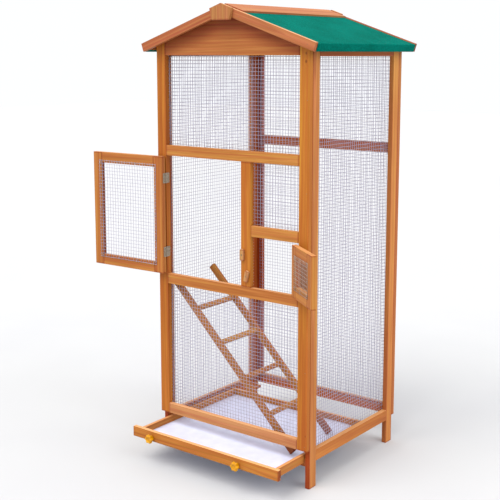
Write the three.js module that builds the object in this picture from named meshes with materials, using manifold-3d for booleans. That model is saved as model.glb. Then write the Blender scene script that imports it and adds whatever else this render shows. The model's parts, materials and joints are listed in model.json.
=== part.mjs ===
// Wooden bird cage on four legs: a framed and netted box with a pitched felt roof, a large and a
// small door, a pull-out tray and a ladder. Millimetres, +Z up, +X to the right, +Y to the rear.
import * as THREE from "three";
import { mergeGeometries, mergeVertices } from "three/addons/utils/BufferGeometryUtils.js";
import Module from "manifold-3d";

const wasm = await Module();
wasm.setup();

// Timber stock
const boardThick = 18;
const uprightWide = 40;
const railTall = 37.5;
const easedEdge = 1.2;
const easeSteps = 2;
// Gap left where two pieces meet, and how far a cutting shape runs past what it cuts
const seam = 0.3;
const overrun = 1;

// Body
const bodyWide = 668;
const sideDeep = 562;
const sideRailFoot = 92;

// Front panel, from the floor up
const panelFoot = 140;
const lowerWindow = 464;
const doorWindow = 438;
const upperWindow = 322.5;
const gableShoulder = 37;
const smallWindow = 181;
const smallWindowWide = 201;
const mullionWide = 42;

// Rear panel
const rearFoot = 102;

// Roof
const roofPitch = THREE.MathUtils.degToRad(18.75);
const eaveOverhang = 38;
const vergeOverhang = 34;
const roofBoardThick = 12;
const eaveBattenTall = 11;
const eaveBattenWide = 18;
const feltThick = 2;
const feltTuck = 16;
const bargeTall = 30;
const bargeThick = 15;
const bargeProud = 3;
const capWide = 74;
const capThick = 6.5;
const keystoneShoulder = 48;
const keystoneFoot = 38;
const keystoneTall = 56.5;
const keystoneThick = 12;

// Netting
const netWire = 2.4;
const netThick = 1.2;
const netLap = 20;
const backNetLap = 14;

// Gaps across and up each net
const sideGapCounts = [6, 15];
const rearGapCounts = [7, 15];
const upperGapCounts = [7, 4];
const fixedGapCounts = [3, 3];
const lowerGapCounts = [7, 5];
const largeDoorGapCounts = [3, 4];
const smallDoorGapCounts = [2, 1];

// Doors
const doorGap = 2.5;
const doorMember = 40;
const largeDoorOpen = THREE.MathUtils.degToRad(177.5);
const smallDoorOpen = THREE.MathUtils.degToRad(143.5);

// Butt hinges
const leafTall = 37;
const leafWide = 15;
const leafThick = 1.1;
const barrelRadius = 2.6;
const pinRadius = 1.2;
const pinClearance = 0.08;
const knuckleSides = 16;
const largeHingeInset = 80;
const smallHingeInset = 40;

// Turn buttons
const buttonLong = 40;
const buttonWide = 16;
const buttonThick = 9;
const buttonCorner = 3;
const buttonInset = 1.5;
const largeButtonAboveRail = 114;
const smallButtonAboveRail = 40;
const smallButtonTilt = THREE.MathUtils.degToRad(12.8);

// Tray and its runners
const trayPull = 160;
const trayUnderside = 90;
const trayFrontTall = 37;
const trayFrontThick = 16;
const trayFrontInset = 4;
const traySideTall = 30;
const traySideThick = 13;
const trayBackGap = 4;
const trayRunClearance = 0.8;
const trayFloorThick = 3;
const trayFloorRaise = 4;
const grooveDeep = 4;
const guideThick = 5.2;
const guideTall = 16;
const shelfWide = 20;
const shelfThick = 11;

// Tray knobs
const knobRadius = 16.5;
const knobHeadDeep = 15;
const knobRound = 4;
const knobRoundSteps = 4;
const knobSides = 32;
const fluteDeep = 2.4;
const fluteCount = 8;
const flutePoints = 6;
const neckRadius = 8;
const neckLong = 9;
const knobBelowCentre = 4.5;
const leftKnobX = -235;
const rightKnobX = 160;

// Ladder
const ladderLong = 785;
const ladderLean = THREE.MathUtils.degToRad(45);
const ladderWide = 243;
const ladderRailWide = 25;
const ladderRailThick = 15;
const rungCount = 4;
const rungWide = 18;
const rungThick = 13;
const rungMortise = 8;
const ladderSetBack = 17;

// Heights that follow from the sizes above
const halfWide = bodyWide / 2;
const innerFace = halfWide - boardThick;
const lowerRailFoot = panelFoot + railTall + lowerWindow;
const doorSill = lowerRailFoot + railTall;
const midRailFoot = doorSill + doorWindow;
const upperSill = midRailFoot + railTall;
const gableFoot = upperSill + upperWindow;
const wallTop = gableFoot + gableShoulder;
const smallRailFoot = doorSill + smallWindow;

// Places along the depth
const sideFront = boardThick + seam;
const sideBack = sideFront + sideDeep;
const rearFace = sideBack + seam;
const bodyBack = rearFace + boardThick;

// Places across the front panel
const windowHalf = halfWide - uprightWide;
const mullionRight = windowHalf - smallWindowWide;
const mullionLeft = mullionRight - mullionWide;
const largeWindowWide = mullionLeft + windowHalf;

const finish = (color, roughness, metalness = 0) => () =>
  new THREE.MeshStandardMaterial({ color, roughness, metalness });
const woodMaterial = finish(0xc77a36, 0.62);
const trimMaterial = finish(0xc9804c, 0.62);
const paleWoodMaterial = finish(0xd79a5c, 0.6);
const feltMaterial = finish(0x00826e, 0.95);
const wireMaterial = finish(0xc6c8cc, 0.35, 0.9);
const hingeMaterial = finish(0x9a9a98, 0.4, 1);
const floorMaterial = finish(0xf0f2f6, 0.5);
const knobMaterial = finish(0xf2a51e, 0.4);

function add(parent, name, geometry, material, x = 0, y = 0, z = 0) {
  const mesh = new THREE.Mesh(geometry, material);
  mesh.name = name;
  mesh.position.set(x, y, z);
  parent.add(mesh);
  return mesh;
}

// Closed geometry to manifold solid and back
function toSolid(geometry) {
  const bare = geometry.clone();
  bare.deleteAttribute("normal");
  bare.deleteAttribute("uv");
  const merged = mergeVertices(bare);
  return new wasm.Manifold(
    new wasm.Mesh({
      numProp: 3,
      vertProperties: merged.attributes.position.array,
      triVerts: new Uint32Array(merged.index.array),
    }),
  );
}

function toGeometry(solid) {
  const mesh = solid.getMesh();
  const geometry = new THREE.BufferGeometry();
  geometry.setAttribute("position", new THREE.BufferAttribute(mesh.vertProperties, 3));
  geometry.setIndex(new THREE.BufferAttribute(mesh.triVerts, 1));
  geometry.computeVertexNormals();
  return geometry;
}

const join = (...geometries) =>
  toGeometry(geometries.map(toSolid).reduce((whole, next) => whole.add(next)));

const cut = (geometry, ...tools) =>
  toGeometry(tools.map(toSolid).reduce((whole, tool) => whole.subtract(tool), toSolid(geometry)));

const vectors = (points) => points.map(([x, y]) => new THREE.Vector2(x, y));

function rectangle(wide, tall, left = 0, foot = 0) {
  const right = left + wide;
  const top = foot + tall;
  return [
    [left, foot],
    [right, foot],
    [right, top],
    [left, top],
  ];
}

// An outline whose corners are cut back along both of their edges
function chamfered(points, amount = easedEdge) {
  const corners = vectors(points);
  const count = corners.length;
  return corners.flatMap((corner, i) => {
    const before = corners[(i + count - 1) % count].clone().sub(corner).setLength(amount);
    const after = corners[(i + 1) % count].clone().sub(corner).setLength(amount);
    return [
      [corner.x + before.x, corner.y + before.y],
      [corner.x + after.x, corner.y + after.y],
    ];
  });
}

// A shape whose outline and holes all run counter-clockwise, whichever hand they were given in
function shapeOf(points, holes) {
  const [outer, ...inner] = [points, ...holes].map((outline) => {
    const corners = vectors(outline);
    return THREE.ShapeUtils.isClockWise(corners) ? corners.reverse() : corners;
  });
  const shape = new THREE.Shape(outer);
  shape.holes = inner.map((corners) => new THREE.Path(corners));
  return shape;
}

// An outline in XY pushed up along Z, with square edges
const extrusion = (points, deep) =>
  new THREE.ExtrudeGeometry(shapeOf(points, []), { depth: deep, bevelEnabled: false });

// A planed board: the outline is its broad face, and all its edges are eased
function plank(points, thick, holes = []) {
  const geometry = new THREE.ExtrudeGeometry(shapeOf(points, holes), {
    depth: thick - 2 * easedEdge,
    bevelThickness: easedEdge,
    bevelSize: easedEdge,
    bevelOffset: -easedEdge,
    bevelSegments: easeSteps,
  });
  return geometry.translate(0, 0, easedEdge);
}

// Turns an outline in XY so that it stands in XZ and its depth runs back along Y
const alongX = new THREE.Vector3(1, 0, 0);
const alongY = new THREE.Vector3(0, 1, 0);
const alongZ = new THREE.Vector3(0, 0, 1);
const forward = alongY.clone().negate();
const facingFront = (geometry, deep) =>
  geometry.applyMatrix4(new THREE.Matrix4().makeBasis(alongX, alongZ, forward).setPosition(0, deep, 0));

// Turns an outline in XY so that it stands in YZ and its depth runs along X
const facingSide = (geometry) =>
  geometry.applyMatrix4(new THREE.Matrix4().makeBasis(alongY, alongZ, alongX));

const frontPlank = (points, thick = boardThick, holes = []) =>
  facingFront(plank(points, thick, holes), thick);
const sidePlank = (points) => facingSide(plank(points, boardThick));

// Welded net: a thin sheet with a regular grid of square gaps
function net(wide, tall, [columns, rows]) {
  const gapWide = (wide - netWire * (columns + 1)) / columns;
  const gapTall = (tall - netWire * (rows + 1)) / rows;
  const gaps = [];
  for (let i = 0; i < columns; i++) {
    for (let j = 0; j < rows; j++) {
      const left = netWire + i * (gapWide + netWire);
      const foot = netWire + j * (gapTall + netWire);
      gaps.push(extrusion(rectangle(gapWide, gapTall, left, foot), netThick + 2 * overrun));
    }
  }
  return cut(extrusion(rectangle(wide, tall), netThick), mergeGeometries(gaps).translate(0, 0, -overrun));
}

const frontNet = (wide, tall, counts) => facingFront(net(wide, tall, counts), netThick);

// Roof outlines: distance down the slope from the ridge line, and height above the boards' underside
const roofApex = wallTop + seam + halfWide * Math.tan(roofPitch);
const slopeLong = (halfWide + eaveOverhang) / Math.cos(roofPitch);
const underRoof = (x) => roofApex - Math.abs(x) * Math.tan(roofPitch);
const feltFoot = roofBoardThick + seam;
const feltTop = feltFoot + feltThick;
const capFoot = feltTop + seam;
const capTop = capFoot + capThick;
const bargeTop = feltTop + bargeProud;
const bargeFoot = bargeTop - bargeTall;
const ridgeHeight = roofApex + capTop / Math.cos(roofPitch);

const slopePoint = (down, above) => [
  down * Math.cos(roofPitch) + above * Math.sin(roofPitch),
  roofApex - down * Math.sin(roofPitch) + above * Math.cos(roofPitch),
];

function ridgePoint(above) {
  const x = seam / 2;
  return [x, roofApex + above / Math.cos(roofPitch) - x * Math.tan(roofPitch)];
}

const mirrored = (points, side) => points.map(([x, z]) => [side * x, z]);

const slopeStrip = (foot, top, long) => [
  ridgePoint(foot),
  slopePoint(long, foot),
  slopePoint(long, top),
  ridgePoint(top),
];

const sides = [
  ["left", -1],
  ["right", 1],
];

const cage = new THREE.Group();

// Side panels: two legs that run down to the floor, a top and a bottom rail, and netting inside
function sidePanel(name, side) {
  const panel = new THREE.Group();
  const boardX = side > 0 ? innerFace : -halfWide;
  const rearLeg = sideBack - uprightWide;
  const railFront = sideFront + uprightWide + seam;
  const railLong = rearLeg - seam - railFront;
  const topRailFoot = wallTop - uprightWide;
  const leg = () => sidePlank(rectangle(uprightWide, wallTop));
  add(panel, `${name}_front_leg`, leg(), woodMaterial(), boardX, sideFront);
  add(panel, `${name}_rear_leg`, leg(), woodMaterial(), boardX, rearLeg);
  const topRail = sidePlank(rectangle(railLong, uprightWide));
  add(panel, `${name}_top_rail`, topRail, woodMaterial(), boardX, railFront, topRailFoot);

  // The runner is an L strip on the rail's inner face, with a shelf that the tray slides on
  const shelfTop = trayUnderside - seam;
  const shelfFoot = shelfTop - shelfThick;
  const guideTop = shelfTop + guideTall;
  const runner = [
    [0, shelfFoot],
    [0, guideTop],
    [-guideThick, guideTop],
    [-guideThick, shelfTop],
    [-shelfWide, shelfTop],
    [-shelfWide, shelfFoot],
  ];
  const railAndRunner = [
    [boardThick, sideRailFoot],
    [boardThick, sideRailFoot + uprightWide],
    [0, sideRailFoot + uprightWide],
    ...runner.slice(1),
    [0, shelfFoot],
    [0, sideRailFoot],
  ];
  const rail = facingFront(extrusion(mirrored(railAndRunner, side), railLong), railLong);
  const strip = facingFront(extrusion(mirrored(runner, side), sideDeep), sideDeep);
  const bottomRail = join(rail.translate(0, railFront - sideFront, 0), strip);
  add(panel, `${name}_bottom_rail`, bottomRail, woodMaterial(), side * innerFace, sideFront);

  const netFront = sideFront + uprightWide - netLap;
  const netFoot = sideRailFoot + uprightWide - netLap;
  const netLong = sideDeep - 2 * (uprightWide - netLap);
  const netTall = topRailFoot + netLap - netFoot;
  const netX = side > 0 ? innerFace - seam - netThick : -innerFace + seam;
  const sheet = facingSide(net(netLong, netTall, sideGapCounts));
  add(panel, `${name}_net`, sheet, wireMaterial(), netX, netFront, netFoot);
  return panel;
}

// Gable board between the uprights, and uprights whose tops follow the slope of the roof
function gable() {
  const reach = windowHalf - seam;
  const top = (x) => underRoof(x) - seam;
  return [
    [-reach, gableFoot],
    [reach, gableFoot],
    [reach, top(reach)],
    [0, top(0)],
    [-reach, top(reach)],
  ];
}

const upright = (side, foot) =>
  mirrored(
    [
      [windowHalf, foot],
      [halfWide, foot],
      [halfWide, underRoof(halfWide) - seam],
      [windowHalf, underRoof(windowHalf) - seam],
    ],
    side,
  );

// A rail or post of a panel, given by the opening that it closes, less a seam at each end
const railAcross = (left, right, foot, tall) =>
  frontPlank(rectangle(right - left - 2 * seam, tall, left + seam, foot));

const postBetween = (left, wide, foot, top) =>
  frontPlank(rectangle(wide, top - foot - 2 * seam, left, foot + seam));

function frontPanel() {
  const panel = new THREE.Group();
  for (const [name, side] of sides) {
    add(panel, `front_${name}_stile`, frontPlank(upright(side, panelFoot)), woodMaterial());
  }
  add(panel, "front_gable", frontPlank(gable()), woodMaterial());
  const rails = {
    front_mid_rail: [-windowHalf, windowHalf, midRailFoot],
    front_lower_rail: [-windowHalf, windowHalf, lowerRailFoot],
    front_bottom_rail: [-windowHalf, windowHalf, panelFoot],
    front_small_rail: [mullionRight, windowHalf, smallRailFoot],
  };
  for (const [name, [left, right, foot]] of Object.entries(rails)) {
    add(panel, name, railAcross(left, right, foot, railTall), woodMaterial());
  }
  const mullion = postBetween(mullionLeft, mullionWide, doorSill, midRailFoot);
  add(panel, "front_mullion", mullion, woodMaterial());

  // Each net laps onto the backs of the pieces round its window
  const windows = {
    front_upper_net: [-windowHalf, windowHalf, upperSill, gableFoot, upperGapCounts],
    front_fixed_net: [mullionRight, windowHalf, smallRailFoot + railTall, midRailFoot, fixedGapCounts],
    front_lower_net: [-windowHalf, windowHalf, panelFoot + railTall, lowerRailFoot, lowerGapCounts],
  };
  for (const [name, [left, right, foot, top, counts]] of Object.entries(windows)) {
    const wide = right - left + 2 * backNetLap;
    const tall = top - foot + 2 * backNetLap;
    const netBack = boardThick + seam;
    const sheet = frontNet(wide, tall, counts);
    add(panel, name, sheet, wireMaterial(), left - backNetLap, netBack, foot - backNetLap);
  }
  return panel;
}

function rearPanel() {
  const panel = new THREE.Group();
  panel.position.y = rearFace;
  for (const [name, side] of sides) {
    add(panel, `rear_${name}_stile`, frontPlank(upright(side, rearFoot)), woodMaterial());
  }
  add(panel, "rear_gable", frontPlank(gable()), woodMaterial());
  const midRail = railAcross(-windowHalf, windowHalf, midRailFoot, railTall);
  add(panel, "rear_mid_rail", midRail, woodMaterial());
  const bottomRail = railAcross(-windowHalf, windowHalf, rearFoot, uprightWide);
  add(panel, "rear_bottom_rail", bottomRail, woodMaterial());
  const foot = rearFoot + uprightWide - backNetLap;
  const tall = gableFoot + backNetLap - foot;
  const sheet = frontNet(2 * (windowHalf + backNetLap), tall, rearGapCounts);
  add(panel, "rear_net", sheet, wireMaterial(), -windowHalf - backNetLap, -seam - netThick, foot);
  return panel;
}

// Roof: two boards with a batten under each eave, felt wrapped round them, barge boards, ridge
// caps and a keystone over each peak
function roof() {
  const group = new THREE.Group();
  const bargeFront = -vergeOverhang;
  const bargeBack = bodyBack + vergeOverhang;
  const deckFront = bargeFront + bargeThick + seam;
  const deckBack = bargeBack - bargeThick - seam;
  const deckLong = deckBack - deckFront;
  const battenFoot = -eaveBattenTall;
  const board = [
    ridgePoint(0),
    slopePoint(slopeLong - eaveBattenWide, 0),
    slopePoint(slopeLong - eaveBattenWide, battenFoot),
    slopePoint(slopeLong, battenFoot),
    slopePoint(slopeLong, roofBoardThick),
    ridgePoint(roofBoardThick),
  ];
  const innerEnd = slopeLong + seam;
  const outerEnd = innerEnd + feltThick;
  const tuckTop = battenFoot - seam;
  const tuckFoot = tuckTop - feltThick;
  const felt = [
    ridgePoint(feltFoot),
    slopePoint(innerEnd, feltFoot),
    slopePoint(innerEnd, tuckTop),
    slopePoint(slopeLong - feltTuck, tuckTop),
    slopePoint(slopeLong - feltTuck, tuckFoot),
    slopePoint(outerEnd, tuckFoot),
    slopePoint(outerEnd, feltTop),
    ridgePoint(feltTop),
  ];
  const barge = slopeStrip(bargeFoot, bargeTop, slopeLong);
  const cap = slopeStrip(capFoot, capTop, capWide);
  const keystone = () => frontPlank(keystoneOutline(), keystoneThick);
  const deck = (points, side) => facingFront(extrusion(mirrored(points, side), deckLong), deckLong);
  for (const [name, side] of sides) {
    add(group, `${name}_roof_board`, deck(board, side), trimMaterial(), 0, deckFront);
    add(group, `${name}_roof_felt`, deck(felt, side), feltMaterial(), 0, deckFront);
    const frontBarge = frontPlank(mirrored(barge, side), bargeThick);
    add(group, `front_${name}_barge`, frontBarge, trimMaterial(), 0, bargeFront);
    const capStrip = facingFront(plank(mirrored(cap, side), deckLong), deckLong);
    add(group, `${name}_ridge_cap`, capStrip, trimMaterial(), 0, deckFront);
  }
  const keystoneFront = bargeFront - seam - keystoneThick;
  add(group, "front_keystone", keystone(), trimMaterial(), 0, keystoneFront);

  // At the rear the keystone is one piece with the left barge board and stands clear of the right
  const rearBarge = bargeBack - bargeThick;
  const leftBarge = facingFront(extrusion(mirrored(barge, -1), bargeThick), bargeThick);
  const rearKeystone = facingFront(extrusion(keystoneOutline(), keystoneThick), keystoneThick);
  const crowned = join(leftBarge, rearKeystone.translate(0, bargeThick, 0));
  add(group, "rear_left_barge", crowned, trimMaterial(), 0, rearBarge);
  const rightThick = bargeThick - seam;
  const rightBarge = frontPlank(barge, rightThick);
  add(group, "rear_right_barge", rightBarge, trimMaterial(), 0, rearBarge);
  return group;
}

function keystoneOutline() {
  const shoulder = ridgeHeight - keystoneShoulder * Math.tan(roofPitch);
  const foot = ridgeHeight - keystoneTall;
  return [
    [-keystoneFoot, foot],
    [keystoneFoot, foot],
    [keystoneShoulder, shoulder],
    [0, ridgeHeight],
    [-keystoneShoulder, shoulder],
  ];
}

// Butt hinge round its pin: the hand is +1 where the door lies towards +X when shut
const hingeGap = 2 * leafThick + 3 * seam;
const axisForward = barrelRadius + seam;
const knuckleTall = (leafTall - 2 * seam) / 3;
const middleFoot = knuckleTall + seam;
const topFoot = leafTall - knuckleTall;
const leafInner = seam / 2;

const round = (radius, tall, foot) =>
  new THREE.CylinderGeometry(radius, radius, tall, knuckleSides)
    .rotateX(Math.PI / 2)
    .translate(0, 0, foot + tall / 2);

function leafPart(side, near, far, foot, tall) {
  const outline = mirrored(rectangle(leafThick, far - near, leafInner, near), side);
  return extrusion(outline, tall).translate(0, 0, foot);
}

function hingeLeaves(hand) {
  const plateFar = barrelRadius + leafWide;
  const plate = (side) => leafPart(side, barrelRadius + seam, plateFar, 0, leafTall);
  const tab = (side, foot) => leafPart(side, 0, barrelRadius + 2 * seam, foot, knuckleTall);
  const knuckle = (foot) => round(barrelRadius, knuckleTall, foot);
  const fixed = join(
    plate(-hand),
    tab(-hand, 0),
    knuckle(0),
    tab(-hand, topFoot),
    knuckle(topFoot),
    round(pinRadius, leafTall, 0),
  );
  const boreRadius = (pinRadius + pinClearance) / Math.cos(Math.PI / knuckleSides);
  const bore = round(boreRadius, leafTall, 0);
  const moving = cut(join(plate(hand), tab(hand, middleFoot), knuckle(middleFoot)), bore);
  return { fixed, moving };
}

// A door is hung on two hinges, and its group turns about their pins
function door(name, hand, wide, tall, inset, openAngle, gapCounts) {
  const fixedGroup = new THREE.Group();
  fixedGroup.position.set(-hand * (windowHalf - hingeGap / 2), -axisForward, doorSill + doorGap);
  const swing = new THREE.Group();
  swing.rotation.z = -hand * openAngle;
  fixedGroup.add(swing);
  const near = hingeGap / 2;
  const outline = mirrored(rectangle(wide, tall, near), hand);
  const window = mirrored(
    rectangle(wide - 2 * doorMember, tall - 2 * doorMember, near + doorMember, doorMember),
    hand,
  );
  add(swing, `${name}_frame`, frontPlank(outline, boardThick, [window]), woodMaterial(), 0, axisForward);
  const netInset = doorMember - netLap;
  const netWide = wide - 2 * netInset;
  const netTall = tall - 2 * netInset;
  const netLeft = hand > 0 ? near + netInset : -near - netInset - netWide;
  const netFront = axisForward + boardThick + seam;
  const sheet = frontNet(netWide, netTall, gapCounts);
  add(swing, `${name}_net`, sheet, wireMaterial(), netLeft, netFront, netInset);
  const hingeFeet = {
    lower: inset - leafTall / 2,
    upper: tall - inset - leafTall / 2,
  };
  for (const [place, foot] of Object.entries(hingeFeet)) {
    const { fixed, moving } = hingeLeaves(hand);
    add(fixedGroup, `${name}_${place}_hinge`, fixed, hingeMaterial(), 0, 0, foot);
    add(swing, `${name}_${place}_hinge_leaf`, moving, hingeMaterial(), 0, 0, foot);
  }
  return fixedGroup;
}

// Turn buttons on the mullion, each on the side of its door
function turnButton(name, x, z, tilt) {
  const turn = new THREE.Group();
  turn.position.set(x, -seam - buttonThick, z);
  turn.rotation.y = tilt;
  const outline = chamfered(
    rectangle(buttonWide, buttonLong, -buttonWide / 2, -buttonLong / 2),
    buttonCorner,
  );
  add(turn, name, frontPlank(outline, buttonThick), paleWoodMaterial());
  return turn;
}

function turnButtons() {
  const group = new THREE.Group();
  const tiltedReach =
    (buttonLong / 2) * Math.sin(smallButtonTilt) + (buttonWide / 2) * Math.cos(smallButtonTilt);
  const largeX = mullionLeft + buttonInset + buttonWide / 2;
  const smallX = mullionRight - buttonInset - tiltedReach;
  group.add(turnButton("large_door_button", largeX, doorSill + largeButtonAboveRail, 0));
  group.add(turnButton("small_door_button", smallX, doorSill + smallButtonAboveRail, smallButtonTilt));
  return group;
}

// Tray: a shallow drawer whose floor is let into grooves, drawn out by its pull
const trayHalf = innerFace - guideThick - trayRunClearance;
const trayFrontBack = sideFront - seam;
const trayFront = trayFrontBack - trayFrontThick;
const trayEnd = rearFace - trayBackGap;
const floorFoot = trayUnderside + trayFloorRaise;
const floorTop = floorFoot + trayFloorThick;
const traySideInner = trayHalf - traySideThick;

// Outline of a tray board: x from its plain face to its grooved face, y up
function groovedOutline(thick, tall) {
  const grooveFoot = trayFloorRaise - seam;
  const grooveTop = grooveFoot + trayFloorThick + 2 * seam;
  return [
    [0, 0],
    [thick, 0],
    [thick, grooveFoot],
    [thick - grooveDeep, grooveFoot],
    [thick - grooveDeep, grooveTop],
    [thick, grooveTop],
    [thick, tall],
    [0, tall],
  ];
}

function tray() {
  const drawer = new THREE.Group();
  drawer.position.y = -trayPull;
  const frontHalf = halfWide - trayFrontInset;
  const frontBoard = facingSide(extrusion(groovedOutline(trayFrontThick, trayFrontTall), 2 * frontHalf));
  add(drawer, "tray_front", frontBoard, woodMaterial(), -frontHalf, trayFront, trayUnderside);

  const sideStart = trayFrontBack + seam;
  const sideLong = trayEnd - sideStart;
  for (const [name, side] of sides) {
    const outline = mirrored(groovedOutline(traySideThick, traySideTall), -side);
    const sideBoard = facingFront(extrusion(outline, sideLong), sideLong);
    add(drawer, `tray_${name}_side`, sideBoard, woodMaterial(), side * trayHalf, sideStart, trayUnderside);
  }
  const backHalf = traySideInner - seam;
  const backOutline = groovedOutline(traySideThick, traySideTall).map(([y, z]) => [-y, z]);
  const backBoard = facingSide(extrusion(backOutline, 2 * backHalf));
  add(drawer, "tray_back", backBoard, woodMaterial(), -backHalf, trayEnd, trayUnderside);

  const tongue = grooveDeep - seam;
  const floorHalf = traySideInner + tongue;
  const floorFront = trayFrontBack - tongue;
  const floorBack = trayEnd - traySideThick + tongue;
  const floor = extrusion(rectangle(2 * floorHalf, floorBack - floorFront), trayFloorThick);
  add(drawer, "tray_floor", floor, floorMaterial(), -floorHalf, floorFront, floorFoot);

  const knobZ = trayUnderside + trayFrontTall / 2 - knobBelowCentre;
  add(drawer, "tray_left_knob", knob(), knobMaterial(), leftKnobX, trayFront - seam, knobZ);
  add(drawer, "tray_right_knob", knob(), knobMaterial(), rightKnobX, trayFront - seam, knobZ);
  return drawer;
}

// Knob that points forward: turned with a neck and a rounded head, whose rim is fluted
function knob() {
  const knobLong = neckLong + knobHeadDeep;
  const profile = new THREE.Path();
  profile.moveTo(0, 0);
  profile.lineTo(neckRadius, 0);
  profile.lineTo(neckRadius, neckLong);
  profile.lineTo(knobRadius - knobRound, neckLong);
  profile.absarc(knobRadius - knobRound, neckLong + knobRound, knobRound, -Math.PI / 2, 0);
  profile.lineTo(knobRadius, knobLong - knobRound);
  profile.absarc(knobRadius - knobRound, knobLong - knobRound, knobRound, 0, Math.PI / 2);
  profile.lineTo(0, knobLong);
  const turned = new THREE.LatheGeometry(profile.getPoints(knobRoundSteps), knobSides).rotateX(Math.PI / 2);

  const count = fluteCount * flutePoints;
  const outline = Array.from({ length: count }, (_, i) => {
    const angle = (2 * Math.PI * i) / count;
    const radius = knobRadius - (fluteDeep * (1 - Math.cos(fluteCount * angle))) / 2;
    return [radius * Math.cos(angle), radius * Math.sin(angle)];
  });
  const fluted = extrusion(outline, knobLong + 2 * overrun).translate(0, 0, -overrun);
  return facingFront(toGeometry(toSolid(turned).intersect(toSolid(fluted))), 0);
}

// Ladder: leans from the tray floor to the netting on the left. Its local x runs up its rails
function ladder() {
  const lean = new THREE.Group();
  const lowCorner = (ladderRailWide / 2) * Math.cos(ladderLean);
  const sideCorner = (ladderRailWide / 2) * Math.sin(ladderLean);
  const netFace = innerFace - seam - netThick;
  const footX = -netFace + seam + sideCorner + ladderLong * Math.cos(ladderLean);
  lean.position.set(footX, sideFront + ladderSetBack, floorTop + seam + lowCorner);
  lean.rotation.y = Math.PI + ladderLean;
  const railOutline = rectangle(ladderLong, ladderRailWide, 0, -ladderRailWide / 2);
  const rail = (y) => frontPlank(railOutline, ladderRailThick).translate(0, y, 0);
  const rungLong = ladderWide - 2 * ladderRailThick + 2 * rungMortise;
  const rungStart = ladderRailThick - rungMortise;
  const step = ladderLong / (rungCount + 1);
  const rungs = Array.from({ length: rungCount }, (_, i) => {
    const left = (i + 1) * step - rungWide / 2;
    const outline = chamfered(rectangle(rungWide, rungThick, left, -rungThick / 2));
    return facingFront(extrusion(outline, rungLong), rungLong).translate(0, rungStart, 0);
  });
  add(lean, "ladder", join(rail(0), rail(ladderWide - ladderRailThick), ...rungs), paleWoodMaterial());
  return lean;
}

const largeDoorWide = largeWindowWide - hingeGap - doorGap;
const smallDoorWide = smallWindowWide - hingeGap - doorGap;
const largeDoorTall = doorWindow - 2 * doorGap;
const smallDoorTall = smallWindow - 2 * doorGap;

for (const [name, side] of sides) {
  cage.add(sidePanel(name, side));
}
cage.add(frontPanel());
cage.add(rearPanel());
cage.add(roof());
cage.add(
  door("large_door", 1, largeDoorWide, largeDoorTall, largeHingeInset, largeDoorOpen, largeDoorGapCounts),
);
cage.add(
  door("small_door", -1, smallDoorWide, smallDoorTall, smallHingeInset, smallDoorOpen, smallDoorGapCounts),
);
cage.add(turnButtons());
cage.add(tray());
cage.add(ladder());

// The origin is on the floor, at the middle of the box round the whole piece as it stands
const part = new THREE.Group();
part.add(cage);
part.updateMatrixWorld(true);
const extent = new THREE.Box3().setFromObject(part, true);
const middle = extent.getCenter(new THREE.Vector3());
cage.position.set(-middle.x, -middle.y, -extent.min.z);

export default part;
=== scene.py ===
# Looks of a wooden bird cage: stained timber, welded netting, roof felt, hinges, tray and ladder.
# Metres, +Z up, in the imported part's own frame.
import json
import math
import random

import bmesh
import bpy
import numpy as np
from mathutils import Matrix, Vector


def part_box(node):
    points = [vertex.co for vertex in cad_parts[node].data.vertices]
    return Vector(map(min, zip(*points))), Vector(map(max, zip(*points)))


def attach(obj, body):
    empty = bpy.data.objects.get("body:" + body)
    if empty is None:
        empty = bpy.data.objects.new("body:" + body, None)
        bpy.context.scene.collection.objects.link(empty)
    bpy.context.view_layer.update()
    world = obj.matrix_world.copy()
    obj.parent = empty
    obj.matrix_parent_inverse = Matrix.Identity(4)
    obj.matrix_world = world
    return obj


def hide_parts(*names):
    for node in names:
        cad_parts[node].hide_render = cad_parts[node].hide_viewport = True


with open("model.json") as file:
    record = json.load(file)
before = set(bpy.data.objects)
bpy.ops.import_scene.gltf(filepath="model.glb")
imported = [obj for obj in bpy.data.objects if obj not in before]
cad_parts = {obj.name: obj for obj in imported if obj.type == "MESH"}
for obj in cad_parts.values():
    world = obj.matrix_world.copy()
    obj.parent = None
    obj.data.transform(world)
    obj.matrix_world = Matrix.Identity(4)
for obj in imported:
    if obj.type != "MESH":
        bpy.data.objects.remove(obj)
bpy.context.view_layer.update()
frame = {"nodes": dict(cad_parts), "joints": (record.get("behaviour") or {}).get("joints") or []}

X, Y, Z = Vector((1, 0, 0)), Vector((0, 1, 0)), Vector((0, 0, 1))
MM = 0.001

# Camera: fitted to the photograph's corners
CAMERA_PLACE = Vector((2230.5, -2887.6, 1482.9)) * MM
CAMERA_YAW = math.radians(37.62)
CAMERA_PITCH = math.radians(8.75)
CAMERA_LENS = 71.34
CAMERA_SENSOR = 36
CAMERA_SHIFT_UP = -0.088

# Netting: welded wire in half-inch squares
NET_PITCH = 12.7 * MM
WIRE_RADIUS = 0.7 * MM
WIRE_SIDES = 6
WIRE_STEP = 50 * MM
WIRE_STUB = 2.5 * MM
WIRE_STRAY = 0.25 * MM
NET_TRIM = 9 * MM
BACK_NET_TRIM = 3 * MM
NET_FLAT_RIM = 14 * MM
NET_RISE_OVER = 60 * MM
NET_SAG = 2.4 * MM
NET_RIPPLE = 1.1 * MM
# Each wave: its rates along the netting's width and height in radians a metre, and its size
NET_WAVES = ((19, 3, 1), (-5, 11, 1), (0, 31, 0.5))
CROSS_WIRE_LIFT = 2.8 * WIRE_RADIUS
STAPLE_LIFT = 3.9 * WIRE_RADIUS

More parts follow.
